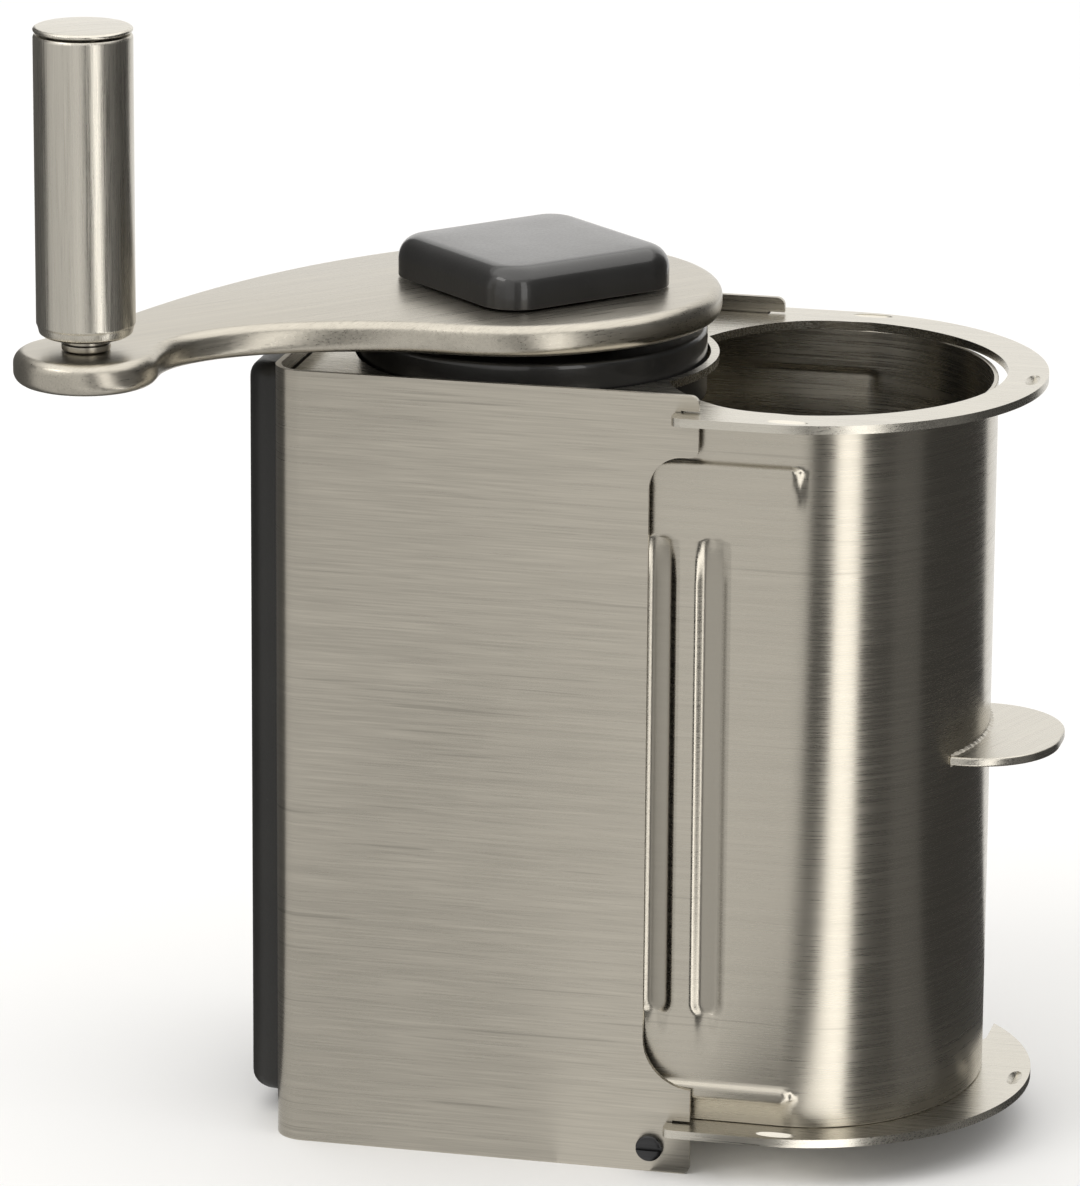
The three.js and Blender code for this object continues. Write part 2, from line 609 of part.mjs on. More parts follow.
const frame = new THREE.Group();
frame.add(makeBody(), makeTopPlate(), makeBottomPlate(), makeGrip(), makeTieBar());
frame.add(makeTieScrew("tie_screw_front", -1), makeTieScrew("tie_screw_rear", 1));
frame.add(makeGripScrew("grip_screw_lower", GRIP_SCREW_Z[0]));
frame.add(makeGripScrew("grip_screw_upper", GRIP_SCREW_Z[1]));

const grater = new THREE.Group();
grater.add(frame, slide, drum, crank);
grater.updateMatrixWorld(true);
const middle = new THREE.Box3().setFromObject(grater, true).getCenter(new THREE.Vector3());
grater.position.set(-middle.x, -middle.y, 0);

const root = new THREE.Group();
root.name = "rotary_cheese_grater";
root.add(grater);

export default root;
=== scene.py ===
# Rotary cheese grater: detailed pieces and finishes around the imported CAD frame.
# Lengths inside the pieces are millimetres from the drum's axis, with z from the table.
import math

import bmesh
import bpy
from mathutils import Matrix, Vector


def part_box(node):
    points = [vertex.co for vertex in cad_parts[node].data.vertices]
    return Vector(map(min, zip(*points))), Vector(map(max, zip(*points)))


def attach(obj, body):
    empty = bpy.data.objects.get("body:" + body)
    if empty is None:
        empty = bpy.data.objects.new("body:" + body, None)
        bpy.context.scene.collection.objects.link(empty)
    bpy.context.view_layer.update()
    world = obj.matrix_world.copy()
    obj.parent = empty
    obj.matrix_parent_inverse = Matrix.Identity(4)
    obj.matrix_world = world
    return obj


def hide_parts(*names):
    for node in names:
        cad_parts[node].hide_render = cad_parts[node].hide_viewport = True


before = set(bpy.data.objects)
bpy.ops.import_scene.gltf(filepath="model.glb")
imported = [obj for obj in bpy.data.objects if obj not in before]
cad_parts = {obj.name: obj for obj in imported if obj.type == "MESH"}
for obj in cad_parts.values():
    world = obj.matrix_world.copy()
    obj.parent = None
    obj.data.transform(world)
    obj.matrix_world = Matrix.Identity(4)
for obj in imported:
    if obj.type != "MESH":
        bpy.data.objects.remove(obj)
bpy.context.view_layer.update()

MM = 0.001
drum_low, drum_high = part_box("grating_drum")
AXIS = (drum_low + drum_high) / 2
knob_low, knob_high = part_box("knob_sleeve")
KNOB = ((knob_low + knob_high) / 2 - AXIS) / MM  # knob axis, from the drum's axis
ARM_TURN = math.atan2(KNOB.y, KNOB.x)
ARM_LENGTH = math.hypot(KNOB.x, KNOB.y)

# Camera of the reference view
LENS = 217.4
AZIMUTH = math.radians(13.105)
ELEVATION = math.radians(15.905)
DISTANCE = 1.0227
ROLL = 0.007
AIM = (1.265, 0.0, 74.747)

# Body sheet and plates
BODY_HALF = 30.15
BODY_SHEET = 0.8
BODY_X0 = -30.6
BODY_BEND = 4.6
BODY_TOP = 113.0
BODY_OPEN = 23.5
EAR_END = 30.4
EAR_TOP_FOOT = 104.2
EAR_TOP_FILLET = 4.8
EAR_LOW_TOP = 12.5
EAR_LOW_FILLET = 7.2
SLOT_X = 27.9
PLATE = 1.2
TOP_PLATE_Z = 109.4
LOW_PLATE_Z = 6.4
PLATE_R = 33.5
PLATE_X = 39.9
TOP_DRUM_HOLE = 25.2
LOW_DRUM_HOLE = 22.6
HOLE_LAND = 26.4  # the opening keeps this far from the drum's axis
NOTCH = (54, 14, 64.7, 42, 2.5)  # x0, y0, x1, y1 and corner of the notch in the bottom plate
STAMPS = ((43, -31.6, 0), (43, 31.6, 180), (71.5, 0, 90))  # x, y and direction of the press marks
GAP = 0.3

# Pusher
PUSH_HALF = 28.2
PUSH_SHEET = 0.7
PUSH_X = 43.0
PUSH_REACH = 23.3
PUSH_OPEN = 10.5
PUSH_Z = (7.65, 109.35)
RIB_X = (24.9, 32.2)
RIB_Z = (22.2, 92.8)
RIB_R = 2.5
RIB_DEPTH = 0.75
RAIL_Z = (11.7, 102.0)
RAIL_X = (14.0, 44.8)
RAIL_R = 1.7
RAIL_DEPTH = 0.8
TAB_HALF = 13.8
TAB_REACH = 77.0
TAB_CORNER = 12.0
TAB_Z = (57.9, 59.2)

ARM_Z = (116.04, 120.44)
HUB_R = 26.7
HUB_ARC = (85, 262)  # degrees, where the hub's round starts and ends
EYE_R = 9.94
EYE_ARC = (-110, 140)
EYE_JOIN = (-3.4, -9.4)  # where the back edge meets the eye, from the eye's centre
ARM_BACK = ((24, -30.3), (47, -21))  # control points of the long back edge
ARM_NECK = ((63.2, 3.4), (60.5, 1), (54.8, 0.8))  # of the step beside the eye, with its end
ARM_FRONT = ((44.8, 0.2), (31.4, 8.1), (25.2, 15.3))  # of the hollow front edge, with its end
ARM_SHOULDER = ((19.3, 22), (13.3, 25.7))  # of its swell into the hub
ARM_EYE_HOLE = 2.75

# Hub cap, handle and drum cap
CAP_HALF = 15.3
CAP_CORNER = 5.5
CAP_Z = (120.74, 126.6)
CAP_EDGES = (0.15, 3.2)  # rounding of the lower and upper edge
KNOB_R = 6.75
KNOB_BORE = 5.3
KNOB_FOOT = 122.6
KNOB_TOP = 164.0
DRUM_CAP_R = 24.7
DRUM_CAP_WEB = 108
DRUM_CAP_TOP = 114.5
SKIRT = (20.9, 23.1)  # inner and outer radius of the part inside the drum
BOSS_R = 13


# --- outlines ------------------------------------------------------------------

def arc(cx, cy, rx, a0, a1, n, ry=None):
    ry = rx if ry is None else ry
    out = []
    for i in range(n + 1):
        a = math.radians(a0 + (a1 - a0) * i / n)
        out.append((cx + rx * math.cos(a), cy + ry * math.sin(a)))
    return out


def bezier(p0, p1, p2, p3, n):
    out = []
    for i in range(n + 1):
        t = i / n
        w = ((1 - t) ** 3, 3 * t * (1 - t) ** 2, 3 * t * t * (1 - t), t ** 3)
        out.append(tuple(sum(k * p[c] for k, p in zip(w, (p0, p1, p2, p3))) for c in (0, 1)))
    return out


def quadratic(p0, p1, p2, n=8):
    a = tuple(p0[c] + (p1[c] - p0[c]) * 2 / 3 for c in (0, 1))
    b = tuple(p2[c] + (p1[c] - p2[c]) * 2 / 3 for c in (0, 1))
    return bezier(p0, a, b, p2, n)


def cleaned(points):
    out = []
    for p in points:
        if not out or math.dist(p, out[-1]) > 1e-4:
            out.append(p)
    if math.dist(out[0], out[-1]) < 1e-4:
        out.pop()
    return out


def mirrored(points):
    """Closes a half outline that runs from y < 0 round to the x axis by its mirror image."""
    return cleaned(points + [(x, -y) for x, y in reversed(points)])


def resampled(points, step):
    """The same closed outline in equal steps."""
    loop = points + [points[0]]
    lengths = [math.dist(a, b) for a, b in zip(loop, loop[1:])]
    total = sum(lengths)
    count = max(8, round(total / step))
    out, i, start = [], 0, 0.0
    for k in range(count):
        want = total * k / count
        while start + lengths[i] < want:
            start += lengths[i]
            i += 1
        t = (want - start) / lengths[i]
        a, b = loop[i], loop[i + 1]
        out.append((a[0] + (b[0] - a[0]) * t, a[1] + (b[1] - a[1]) * t))
    return out


def rounded_box(x0, y0, x1, y1, r, n=8):
    out = arc(x0 + r, y0 + r, r, 180, 270, n) + arc(x1 - r, y0 + r, r, 270, 360, n)
    return cleaned(out + arc(x1 - r, y1 - r, r, 0, 90, n) + arc(x0 + r, y1 - r, r, 90, 180, n))


def filleted(points, radius, n=4):
    """An open profile with its inner corners rounded."""
    out = [points[0]]
    for a, b, c in zip(points, points[1:], points[2:]):
        da, dc = math.dist(a, b), math.dist(b, c)
        r = min(radius, da * 0.48, dc * 0.48)
        p = tuple(b[k] + (a[k] - b[k]) * r / da for k in (0, 1))
        q = tuple(b[k] + (c[k] - b[k]) * r / dc for k in (0, 1))
        out += quadratic(p, b, q, n)
    return out + [points[-1]]


# --- meshes --------------------------------------------------------------------

def build(name, verts, faces):
    mesh = bpy.data.meshes.new(name)
    mesh.from_pydata([(AXIS.x + x * MM, AXIS.y + y * MM, z * MM) for x, y, z in verts], [], faces)
    bm = bmesh.new()
    bm.from_mesh(mesh)
    bmesh.ops.remove_doubles(bm, verts=bm.verts, dist=1e-7)
    bmesh.ops.recalc_face_normals(bm, faces=bm.faces)
    bm.to_mesh(mesh)
    bm.free()
    obj = bpy.data.objects.new(name, mesh)
    bpy.context.scene.collection.objects.link(obj)
    return obj


def turned_by(points, angle):
    c, s = math.cos(angle), math.sin(angle)
    return [(x * c - y * s, x * s + y * c, z) for x, y, z in points]


def stacked(rings):
    """Faces between rings of equal count, with the first and last ring closed over."""
    n = len(rings[0])
    verts = [v for ring in rings for v in ring]
    faces = [tuple(reversed(range(n)))]
    for k in range(len(rings) - 1):
        for i in range(n):
            j = (i + 1) % n
            faces.append((k * n + i, k * n + j, (k + 1) * n + j, (k + 1) * n + i))
    faces.append(tuple(range((len(rings) - 1) * n, len(rings) * n)))
    return verts, faces


def prism(name, outline, z0, z1):
    verts, faces = stacked([[(x, y, z) for x, y in outline] for z in (z0, z1)])
    return build(name, verts, faces)


def across(name, outline, y0, y1):
    """An outline drawn in x and z, pulled along y."""
    verts, faces = stacked([[(x, y, z) for x, z in outline] for y in (y0, y1)])
    return build(name, verts, faces)


def inward(outline):
    """Unit normals into a closed outline that runs anticlockwise."""
    n = len(outline)
    out = []
    for i in range(n):
        a, b = outline[i - 1], outline[(i + 1) % n]
        dx, dy = b[0] - a[0], b[1] - a[1]
        size = math.hypot(dx, dy)
        out.append((-dy / size, dx / size))
    return out


def pillow(outline, z0, z1, low, high, steps=6, crown=0.0, turn=0.0, flat_x=None):
    """A slab with rounded lower and upper edges of radii low and high, and a slightly domed top."""
    normals = inward(outline)
    levels = []
    if low > 0:
        for k in range(steps + 1):
            a = math.pi / 2 * k / steps
            levels.append((low * (1 - math.sin(a)), z0 + low * (1 - math.cos(a))))
    else:
        levels.append((0.0, z0))
    for k in range(steps + 1):
        a = math.pi / 2 * k / steps
        levels.append((high * (1 - math.cos(a)), z1 - crown - high * (1 - math.sin(a))))
    rings = []
    for inset, z in levels:
        ring = []
        for (x, y), (nx, ny) in zip(outline, normals):
            px, py = x + nx * inset, y + ny * inset
            if flat_x is not None and abs(x - flat_x) < 1e-6:
                px = x
            ring.append((px, py, z))
        rings.append(ring)
    if crown:
        cx = sum(p[0] for p in rings[-1]) / len(rings[-1])
        cy = sum(p[1] for p in rings[-1]) / len(rings[-1])
        for share, lift in ((0.75, 0.55), (0.45, 0.85), (0.15, 1.0)):
            top = rings[-1] if share == 0.75 else top
            rings.append([
                (cx + (x - cx) * share, cy + (y - cy) * share, z1 - crown + crown * lift)
                for x, y, _ in top
            ])
    verts, faces = stacked([turned_by(r, turn) for r in rings])
    return verts, faces


def lathe(profile, n=96, x=0.0, y=0.0, closed=False):
    """A turned piece about z, or a closed ring."""
    verts, rows = [], []
    for r, z in profile:
        if r < 1e-6:
            rows.append([len(verts)] * n)
            verts.append((x, y, z))
            continue
        rows.append(list(range(len(verts), len(verts) + n)))
        verts += [
            (x + r * math.cos(2 * math.pi * i / n), y + r * math.sin(2 * math.pi * i / n), z)
            for i in range(n)
        ]
    faces = []
    pairs = list(zip(rows, rows[1:])) + ([(rows[-1], rows[0])] if closed else [])
    for a, b in pairs:
        for i in range(n):
            j = (i + 1) % n
            face = []
            for v in (a[i], a[j], b[j], b[i]):
                if v not in face:
                    face.append(v)
            if len(face) > 2:
                faces.append(tuple(face))
    return verts, faces


def bake_modifiers(obj):
    depsgraph = bpy.context.evaluated_depsgraph_get()
    mesh = bpy.data.meshes.new_from_object(obj.evaluated_get(depsgraph))
    obj.modifiers.clear()
    obj.data = mesh
    return obj


def boolean(obj, tool, operation="DIFFERENCE"):
    modifier = obj.modifiers.new("cut", "BOOLEAN")
    modifier.object = tool
    modifier.operation = operation
    modifier.solver = "EXACT"
    bake_modifiers(obj)
    bpy.data.objects.remove(tool)
    return obj


def bevelled(obj, width, segments=2, angle=32):
    modifier = obj.modifiers.new("edge", "BEVEL")
    modifier.width = width * MM
    modifier.segments = segments
    modifier.limit_method = "ANGLE"
    modifier.angle_limit = math.radians(angle)
    modifier.harden_normals = True
    for face in obj.data.polygons:
        face.use_smooth = True
    return bake_modifiers(obj)


def smoothed(obj, angle=40):
    for face in obj.data.polygons:
        face.use_smooth = True
    obj.data.set_sharp_from_angle(angle=math.radians(angle))
    return obj


def fitted(obj, body, slot_name, material, *nodes):
    """Gives a piece its finish and its body, and hides the CAD nodes that it stands for."""
    obj.data.materials.clear()
    obj.data.materials.append(material)
    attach(obj, body)
    if nodes:
        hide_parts(*nodes)
    return obj


# --- finishes ------------------------------------------------------------------

class Nodes:
    """A small writer of shader nodes."""

    def __init__(self, name):
        self.material = bpy.data.materials.new(name)
        self.material.use_nodes = True
        self.tree = self.material.node_tree
        self.shader = next(n for n in self.tree.nodes if n.type == "BSDF_PRINCIPLED")

    def add(self, kind, **values):
        node = self.tree.nodes.new(kind)
        for key, value in values.items():
            setattr(node, key, value)
        return node

    def join(self, a, b):
        self.tree.links.new(a, b)

    def noise(self, scale, detail, vector, roughness=0.55):
        node = self.add("ShaderNodeTexNoise")
        node.inputs["Scale"].default_value = scale
        node.inputs["Detail"].default_value = detail
        node.inputs["Roughness"].default_value = roughness
        self.join(vector, node.inputs["Vector"])
        return node.outputs["Fac"]

    def place(self, scale, turn=0.0):
        source = self.add("ShaderNodeTexCoord")
        mapping = self.add("ShaderNodeMapping", vector_type="TEXTURE")
        mapping.inputs["Rotation"].default_value = (0, 0, turn)
        second = self.add("ShaderNodeMapping", vector_type="POINT")
        second.inputs["Scale"].default_value = scale
        self.join(source.outputs["Object"], mapping.inputs["Vector"])
        self.join(mapping.outputs["Vector"], second.inputs["Vector"])
        return second.outputs["Vector"]

    def spread(self, value, low, high, from_low=0.3, from_high=0.7):
        node = self.add("ShaderNodeMapRange", clamp=True)
        self.join(value, node.inputs["Value"])
        node.inputs["From Min"].default_value = from_low
        node.inputs["From Max"].default_value = from_high
        node.inputs["To Min"].default_value = low
        node.inputs["To Max"].default_value = high
        return node.outputs["Result"]

    def sum(self, a, b, operation="ADD"):
        node = self.add("ShaderNodeMath", operation=operation)
        self.join(a, node.inputs[0])
        if isinstance(b, float):
            node.inputs[1].default_value = b
        else:
            self.join(b, node.inputs[1])
        return node.outputs[0]

    def tint(self, value, dark, light):
        node = self.add("ShaderNodeMix", data_type="RGBA")
        self.join(value, node.inputs["Factor"])
        node.inputs["A"].default_value = (*dark, 1)
        node.inputs["B"].default_value = (*light, 1)
        return node.outputs["Result"]

    def bump(self, height, distance, strength=1.0):
        node = self.add("ShaderNodeBump")
        node.inputs["Strength"].default_value = strength
        node.inputs["Distance"].default_value = distance
        self.join(height, node.inputs["Height"])
        self.join(node.outputs["Normal"], self.shader.inputs["Normal"])


FINE = 4200.0  # across the grain, cycles to a metre
LONG = 80.0  # along it


def brushed(name, tone, rough, grain, turn=0.0, contrast=1.0, anisotropy=0.0, relief=1.0,
            groove_shade_and_dull=False):
    """Brushed steel: fine streaks along the grain, a cloudier tone, and sparse longer scratches."""
    n = Nodes(name)
    streaks = n.noise(1.0, 3, n.place(grain, turn), 0.6)
    broad = n.noise(1.0, 2, n.place(tuple(g * 0.22 for g in grain), turn))
    clouds = n.noise(22.0, 3, n.place((1, 1, 1)))
    scratch = n.noise(1.0, 1, n.place(tuple(g * 0.5 for g in grain), turn), 0.3)
    rare = n.spread(scratch, 0.0, 1.0, 0.70, 0.78)
    value = n.sum(n.spread(streaks, -0.55, 0.55), n.spread(broad, -0.22, 0.22))
    value = n.sum(value, n.spread(clouds, -0.25, 0.25))
    value = n.sum(n.sum(value, contrast * 0.42, "MULTIPLY"), 0.5)
    value = n.sum(value, n.sum(rare, 0.5 * contrast, "MULTIPLY"), "SUBTRACT")
    # Painted shade: where the mesh attribute is set, at the bottoms of the pusher's rib grooves, the
    # colour is darkened with a speckle to stand in for shade; the roughness rises there as well, for
    # their duller finish.
    if groove_shade_and_dull:
        marks = n.add("ShaderNodeAttribute", attribute_name="groove_shade_and_dull")
        speck = n.spread(n.noise(2600.0, 2, n.place((1, 1, 1))), 0.55, 1.25)
        value = n.sum(value, n.sum(marks.outputs["Fac"], speck, "MULTIPLY"), "SUBTRACT")
    dark = tuple(c * 0.72 for c in tone)
    light = tuple(min(1.0, c * 1.16) for c in tone)
    n.join(n.tint(value, dark, light), n.shader.inputs["Base Color"])
    gloss = n.sum(n.spread(streaks, rough - 0.05, rough + 0.06), n.spread(clouds, -0.03, 0.04))
    if groove_shade_and_dull:
        gloss = n.sum(gloss, n.sum(marks.outputs["Fac"], 0.14, "MULTIPLY"))
    n.join(gloss, n.shader.inputs["Roughness"])
    n.shader.inputs["Metallic"].default_value = 1.0
    n.bump(streaks, 0.00002 * relief, 0.5)
    if anisotropy:
        n.shader.inputs["Anisotropic"].default_value = anisotropy
        n.shader.inputs["Anisotropic Rotation"].default_value = 0.25
        tangent = n.add("ShaderNodeTangent", direction_type="RADIAL", axis="Z")
        n.join(tangent.outputs["Tangent"], n.shader.inputs["Tangent"])
    return n.material


def moulded(name, tone, rough, grain_depth, coat=0.0):
    """Black moulded plastic with a fine spark-eroded grain and slight polish marks."""
    n = Nodes(name)
    grain = n.noise(2400.0, 3, n.place((1, 1, 1)))
    clouds = n.noise(60.0, 3, n.place((1, 1, 1)))
    dust = n.spread(n.noise(900.0, 1, n.place((1, 1, 1)), 0.3), 0.0, 1.0, 0.72, 0.80)
    value = n.sum(n.spread(clouds, 0.2, 0.8), n.sum(dust, 0.5, "MULTIPLY"))
    n.join(n.tint(value, tuple(c * 0.75 for c in tone), tuple(c * 1.5 for c in tone)),
           n.shader.inputs["Base Color"])
    n.join(n.sum(n.spread(clouds, rough - 0.05, rough + 0.05), n.spread(grain, -0.03, 0.03)),
           n.shader.inputs["Roughness"])
    n.bump(grain, grain_depth, 0.6)
    n.shader.inputs["Coat Weight"].default_value = coat
    return n.material


STEEL = (0.52, 0.487, 0.42)
LIGHT_STEEL = (0.64, 0.61, 0.54)
LEVEL_GRAIN = (LONG, LONG, FINE)
LENGTH_GRAIN = (LONG, FINE, FINE)
UPRIGHT_GRAIN = (FINE, FINE, LONG)

body_steel = brushed("body_brushed_steel", STEEL, 0.30, LEVEL_GRAIN, anisotropy=0.6)
plate_steel = brushed("plate_steel", LIGHT_STEEL, 0.26, LENGTH_GRAIN, contrast=0.7)
# The pusher's steel has painted shade darkening the bottoms of its rib grooves, and is rougher there.
pusher_steel = brushed("pusher_brushed_steel", STEEL, 0.27, LEVEL_GRAIN, contrast=0.6,
                       anisotropy=0.75, relief=0.2, groove_shade_and_dull=True)
tab_steel = brushed("tab_steel", LIGHT_STEEL, 0.30, LENGTH_GRAIN, 1.2, contrast=0.6)
drum_steel = brushed("drum_steel", LIGHT_STEEL, 0.25, UPRIGHT_GRAIN, contrast=0.8)
arm_steel = brushed("arm_brushed_steel", STEEL, 0.30, LENGTH_GRAIN, ARM_TURN)
knob_steel = brushed("knob_steel", LIGHT_STEEL, 0.27, UPRIGHT_GRAIN, contrast=0.7)
disc_steel = brushed("knob_disc_steel", LIGHT_STEEL, 0.25, LENGTH_GRAIN, 0.6)
bolt_steel = brushed("fastener_steel", STEEL, 0.32, LENGTH_GRAIN, 0.3)
dark_screw = brushed("black_screw", (0.06, 0.06, 0.062), 0.34, LENGTH_GRAIN, relief=0.6)
grip_plastic = moulded("grip_plastic", (0.012, 0.0115, 0.010), 0.42, 0.00006)
cap_plastic = moulded("cap_plastic", (0.014, 0.0135, 0.013), 0.34, 0.00003, 0.6)
bush_plastic = moulded("bush_plastic", (0.03, 0.03, 0.03), 0.5, 0.00004)


# --- body and plates -----------------------------------------------------------

def body_plan(inset, open_end, n=16):
    r = BODY_BEND - inset
    x, half = BODY_X0 + inset + r, BODY_HALF - inset
    run = [(open_end, -half)] + arc(x, -half + r, r, 270, 180, n)
    return run + arc(x, half - r, r, 180, 90, n) + [(open_end, half)]


def side_view():
    c, a, b = 1.2, EAR_TOP_FILLET, EAR_LOW_FILLET
    out = [(BODY_X0 - 1, 0), (EAR_END - c, 0)]
    out += arc(EAR_END - c, c, c, 270, 360, 6) + [(EAR_END, EAR_LOW_TOP)]
    out += arc(BODY_OPEN + b, EAR_LOW_TOP + b, b, 270, 180, 12)
    out += arc(BODY_OPEN + a, EAR_TOP_FOOT - a, a, 180, 90, 12)
    out += arc(EAR_END - c, EAR_TOP_FOOT + c, c, 270, 360, 6)
    out += arc(EAR_END - c, BODY_TOP - c, c, 0, 90, 6) + [(BODY_X0 - 1, BODY_TOP)]
    return cleaned(out)


def box_tool(x0, x1, y0, y1, z0, z1):
    return prism("tool", [(x0, y0), (x1, y0), (x1, y1), (x0, y1)], z0, z1)


def rod_tool(radius, y0, y1, x, z):
    return across("tool", arc(x, z, radius, 0, 360, 32)[:-1], y0, y1)


body = prism(
    "body_shell_sheet", cleaned(body_plan(0, EAR_END) + body_plan(BODY_SHEET, EAR_END)[::-1]),
    0, BODY_TOP,
)
boolean(body, across("tool", side_view(), -40, 40), "INTERSECT")
for z in (TOP_PLATE_Z, LOW_PLATE_Z):
    boolean(body, box_tool(SLOT_X, EAR_END + 1, -40, 40, z - 0.25, z + PLATE + 0.25))
tie_low, tie_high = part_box("tie_bar")
TIE_X = (tie_low.x + tie_high.x) / 2 / MM - AXIS.x / MM
TIE_Z = (tie_low.z + tie_high.z) / 2 / MM
boolean(body, rod_tool(1.5, -40, 40, TIE_X, TIE_Z))
bevelled(body, 0.32, 3)
fitted(body, "frame", "body_steel", body_steel, "body_shell")


def plate_outline():
    inner, outer = BODY_HALF - BODY_SHEET - GAP, BODY_HALF + GAP
    x, r = BODY_X0 + BODY_SHEET + GAP, BODY_BEND - BODY_SHEET - GAP
    neck = SLOT_X + GAP
    half = [(x, 0)] + arc(x + r, -inner + r, r, 180, 270, 10)
    half += [(neck, -inner), (neck, -outer), (27, -outer), (27, 1.5 - PLATE_R)]
    half += quadratic((27, 1.5 - PLATE_R), (27, -PLATE_R), (28.5, -PLATE_R), 5)
    half += arc(PLATE_X, 0, PLATE_R, -90, 0, 48)
    return mirrored(half)


def food_opening():
    r, half = 27.8, 27.3
    out = [(20, -13.6), (22.6, -13.6)]
    out += quadratic((22.6, -13.6), (25.6, -20.4), (31, -24.4), 10)
    out += quadratic((31, -24.4), (34.5, -half), (40.5, -half), 10)
    out += arc(PLATE_X, 0, r, -82.8, 0, 40)
    return mirrored(out)


def stamp(x, y, along, z):
    """A small lens-shaped press mark, cut as a shallow V with a raised heel left in it."""
    rows = []
    for k in range(13):
        u = -1 + 2 * k / 12
        w = 0.95 * math.sqrt(max(0.0, 1 - u * u)) + 0.02
        depth = 0.62 * math.sqrt(max(0.0, 1 - u * u)) + 0.02
        rows.append([(u * 2.9, -w, z + 0.4), (u * 2.9, w, z + 0.4), (u * 2.9, w, z),
                     (u * 2.9, 0.2 * w, z - depth), (u * 2.9, -w, z - 0.2 * depth)])
    verts, faces = stacked([turned_by(r, math.radians(along)) for r in rows])
    return build("tool", [(vx + x, vy + y, vz) for vx, vy, vz in verts], faces)


def plate(name, z, hole_radius, opening):
    obj = prism(name, plate_outline(), z, z + PLATE)
    boolean(obj, prism("tool", arc(0, 0, hole_radius, 0, 360, 96)[:-1], z - 1, z + PLATE + 1))
    if opening:
        tool = prism("tool", food_opening(), z - 1, z + PLATE + 1)
        land = arc(0, 0, HOLE_LAND, 0, 360, 128)[:-1]
        boolean(tool, prism("tool2", land, z - 2, z + PLATE + 2))
        boolean(obj, tool)
    for x, y, along in STAMPS:
        if opening or y < 30:
            boolean(obj, stamp(x, y, along, z + PLATE))
    return obj


top_plate = bevelled(plate("top_plate_sheet", TOP_PLATE_Z, TOP_DRUM_HOLE, True), 0.28, 3)
fitted(top_plate, "frame", "plate_steel", plate_steel, "top_plate")

low_plate = plate("bottom_plate_sheet", LOW_PLATE_Z, LOW_DRUM_HOLE, False)
boolean(low_plate, prism("tool", rounded_box(*NOTCH), 0, 20))
bevelled(low_plate, 0.28, 3)
fitted(low_plate, "frame", "plate_steel", plate_steel, "bottom_plate")


# --- pusher --------------------------------------------------------------------

def ease(t):
    t = min(1.0, max(0.0, t))
    return t * t * (3 - 2 * t)


def slope(t):
    """A straight wall from 0 to 1 with small fillets at its foot and head."""
    t = min(1.0, max(0.0, t))
    f = 0.18
    if t < f:
        return t * t / (2 * f * (1 - f))
    if t > 1 - f:
        return 1 - (1 - t) ** 2 / (2 * f * (1 - f))
    return (t - f / 2) / (1 - f)


def press(x, z):
    """How far a flat side of the pusher stands out at a point: rails out, ribs in."""
    out = 0.0
    for cz in RAIL_Z:
        px = min(max(x, RAIL_X[0] + RAIL_R), RAIL_X[1] - RAIL_R)
        ramp = 0.75 if z > cz else 1.35
        out += RAIL_DEPTH * ease((RAIL_R - math.hypot(x - px, z - cz)) / ramp)
    for cx in RIB_X:
        pz = min(max(z, RIB_Z[0] + RIB_R), RIB_Z[1] - RIB_R)
        out -= RIB_DEPTH * slope((RIB_R - math.hypot(x - cx, z - pz)) / 1.4)
    return out


def spaced(marks, fine, coarse, low, high):
    """Positions from low to high, close together inside the marked spans."""
    out = [low]
    while out[-1] < high - 1e-6:
        at = out[-1]
        near = any(a - fine <= at <= b for a, b in marks)
        out.append(min(high, at + (fine if near else coarse)))
    return out


def pusher_mesh():
    heights = spaced(
        [(c - 2.2, c + 2.2) for c in RAIL_Z]
        + [(RIB_Z[0] - 0.5, RIB_Z[0] + 3.5), (RIB_Z[1] - 3.5, RIB_Z[1] + 0.5)],
        0.3, 3.0, *PUSH_Z,
    )
    side = spaced([(13.4, 45.4)], 0.3, 1.4, PUSH_OPEN, PUSH_X)
    path = [(x, -PUSH_HALF, 0.0, -1.0) for x in side[:-1]]
    steps = 112
    for k in range(steps + 1):
        a = math.pi * k / steps
        nx, ny = math.sin(a) / PUSH_REACH, -math.cos(a) / PUSH_HALF
        size = math.hypot(nx, ny)
        path.append((PUSH_X + PUSH_REACH * math.sin(a), -PUSH_HALF * math.cos(a), nx / size, ny / size))
    path += [(x, PUSH_HALF, 0.0, 1.0) for x in reversed(side[:-1])]
    rows, cols = len(heights), len(path)
    verts = []
    for inset in (0.0, PUSH_SHEET):
        for z in heights:
            for x, y, nx, ny in path:
                shift = (press(x, z) if x < 47 else 0.0) - inset
                verts.append((x + nx * shift, y + ny * shift, z))
    faces = []
    half = rows * cols
    for r in range(rows - 1):
        for c in range(cols - 1):
            a, b = r * cols + c, r * cols + c + 1
            faces.append((a, b, b + cols, a + cols))
            faces.append((half + a, half + a + cols, half + b + cols, half + b))
    rim = [r * cols for r in range(rows)]
    rim += [(rows - 1) * cols + c for c in range(1, cols)]
    rim += [r * cols + cols - 1 for r in range(rows - 2, -1, -1)]
    rim += [c for c in range(cols - 2, 0, -1)]
    for a, b in zip(rim, rim[1:] + rim[:1]):
        faces.append((a, b, half + b, half + a))
    return verts, faces


pusher = bevelled(build("pusher_sheet", *pusher_mesh()), 0.16, 2, 60)
